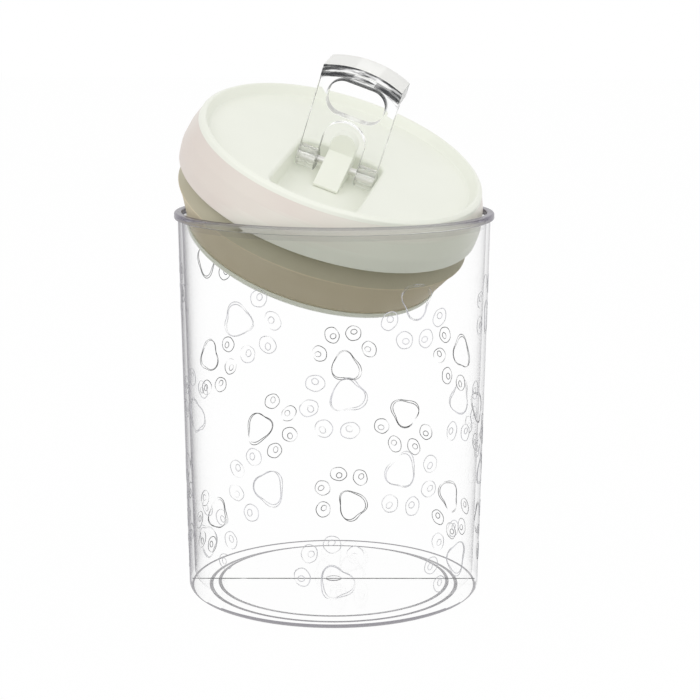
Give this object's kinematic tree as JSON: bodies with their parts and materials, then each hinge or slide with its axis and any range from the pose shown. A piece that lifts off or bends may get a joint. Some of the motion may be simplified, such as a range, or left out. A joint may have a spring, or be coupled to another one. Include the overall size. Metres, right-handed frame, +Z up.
{
  "type": "pet treat jar",
  "caption": "Clear round treat jar with paw prints on its wall and a white clamp lid that has a folding lever and a soft seal, resting tilted in the mouth.",
  "frame": {"origin": "centre of the jar's foot, on the surface that the jar stands on", "axes": "+Z up along the jar's axis, +X to the right and -Y towards the viewer in the pictured view"},
  "size_m": [0.11, 0.11, 0.1864],
  "materials": {
    "jar_clear": "clear, polished",
    "lever_clear": "clear, polished",
    "lid_white": "warm white, satin gloss",
    "seal_greige": "matt silicone",
    "pin_steel": "ground"
  },
  "bodies": {
    "jar": {"jar": "jar_clear"},
    "lid": {"lid_cover": "lid_white", "lid_ring": "lid_white", "seal": "seal_greige"},
    "clamp": {"clamp_plate": "lid_white", "pull_stud": "lid_white", "hinge_pin": "pin_steel"},
    "lever": {"lever": "lever_clear"}
  },
  "joints": [
    {"name": "lid_lift", "type": "slide", "parent": "jar", "child": "lid", "axis": [0, 0, 1], "range_m": [0, 0.06]},
    {"name": "clamp_pull", "type": "slide", "parent": "lid", "child": "clamp", "axis": [0.276, -0.3242, 0.9048], "range_m": [0, 0.0024], "deforming": ["seal"]},
    {"name": "lever_fold", "type": "hinge", "parent": "clamp", "child": "lever", "pos_m": [0.00118, -0.00138, 0.14849], "axis": [0.9281, -0.155, -0.3386], "range_deg": [0, 90]}
  ],
  "couplings": [
    {"joint": "lever_fold", "follows": "clamp_pull", "rad_per_m": 654.49}
  ]
}
